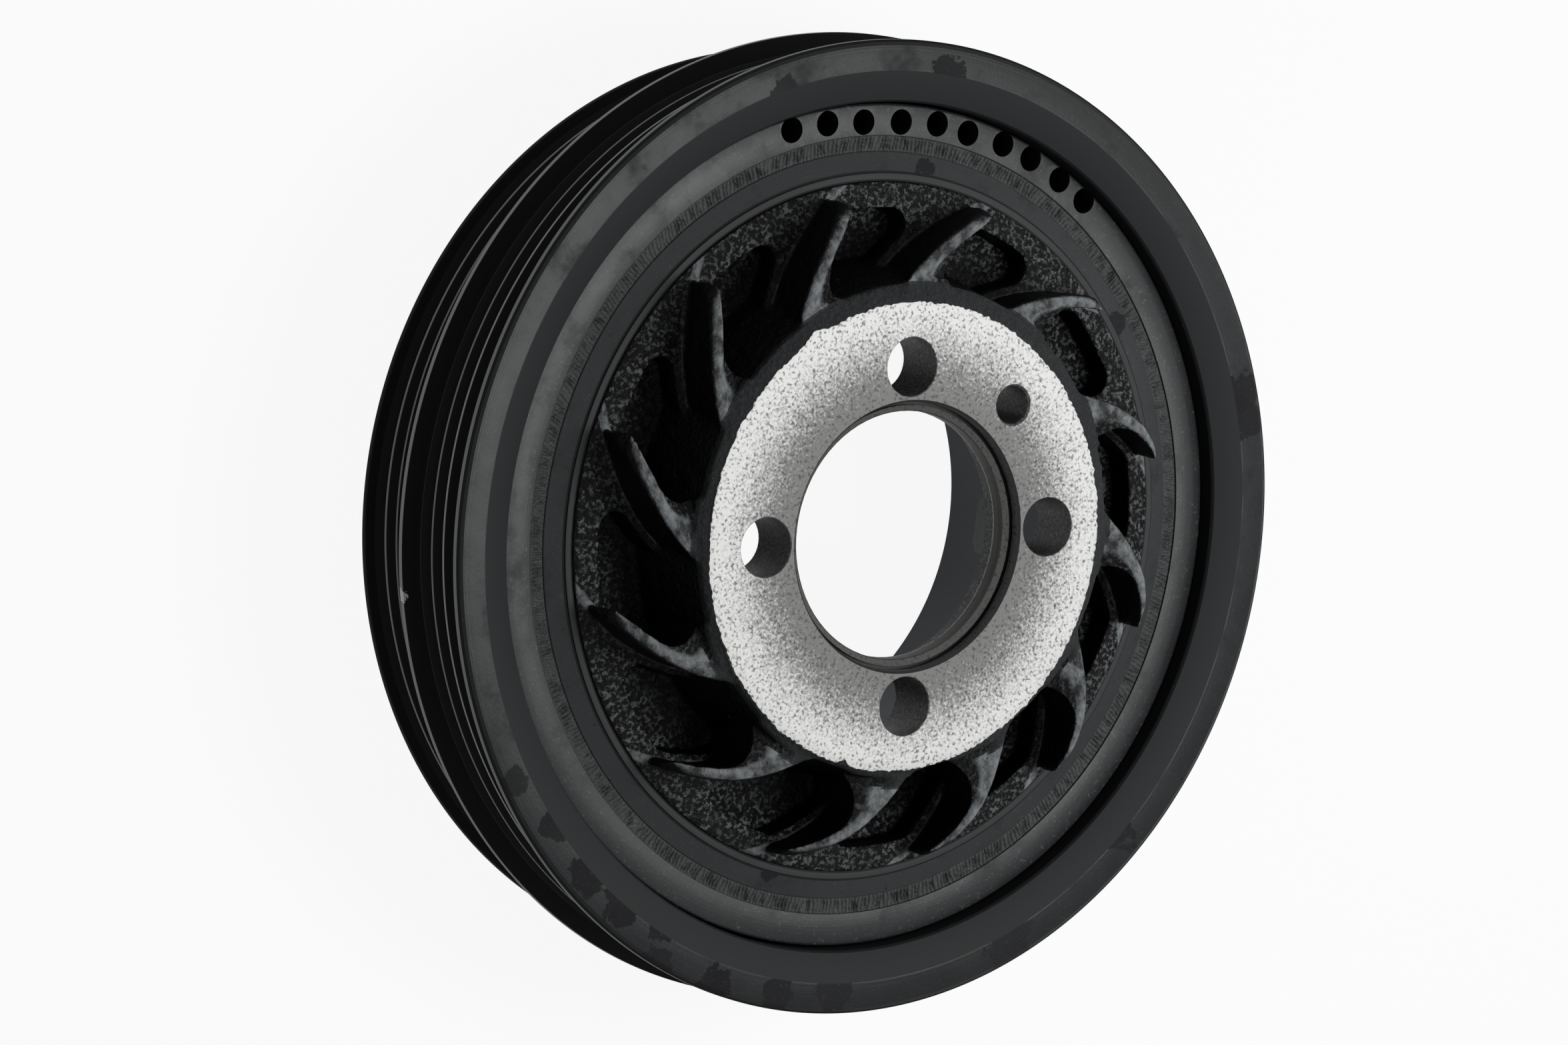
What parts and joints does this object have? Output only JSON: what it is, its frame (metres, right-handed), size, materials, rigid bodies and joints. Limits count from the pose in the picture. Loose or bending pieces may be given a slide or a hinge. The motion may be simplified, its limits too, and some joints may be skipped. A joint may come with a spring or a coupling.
{
  "type": "crankshaft pulley",
  "caption": "Crankshaft pulley with fan-vaned hub flange, rubber-bonded damper ring and a decoupled belt rim with two multi-rib tracks.",
  "frame": {"origin": "on the pulley's axis, in the plane of the belt rim's rear end, which is the lowest plane when the pulley lies on that end", "axes": "+Z along the axis towards the front, the side with the fan vanes and the bolted flange; +X through one bolt hole; the dowel hole lies between +X and +Y"},
  "size_m": [0.167, 0.167, 0.0479],
  "materials": {
    "hub_casting": "rough black-coated casting with a bright machined front flange",
    "damper_rubber": "matt moulded rubber",
    "ring_casting": "semi-matt dark grey coating on a turned ring",
    "rim_steel": "semi-matt dark grey coating, worn bright on the flange lands and rib crests",
    "pressed_steel": "semi-matt dark coating on pressed sheet steel",
    "bearing_strip": "steel-backed plain bearing strip",
    "isolation_rubber": "matt black moulded rubber",
    "hardened_steel": "dark oiled hardened steel"
  },
  "bodies": {
    "root": {"hub": "hub_casting", "damper_rubber": "damper_rubber", "inertia_ring": "ring_casting", "belt_rim": "rim_steel", "drive_disc": "pressed_steel", "plain_bearing": "bearing_strip", "carrier_ring": "pressed_steel", "isolation_rubber": "isolation_rubber", "thrust_washer": "hardened_steel", "retaining_ring": "hardened_steel"}
  },
  "joints": []
}
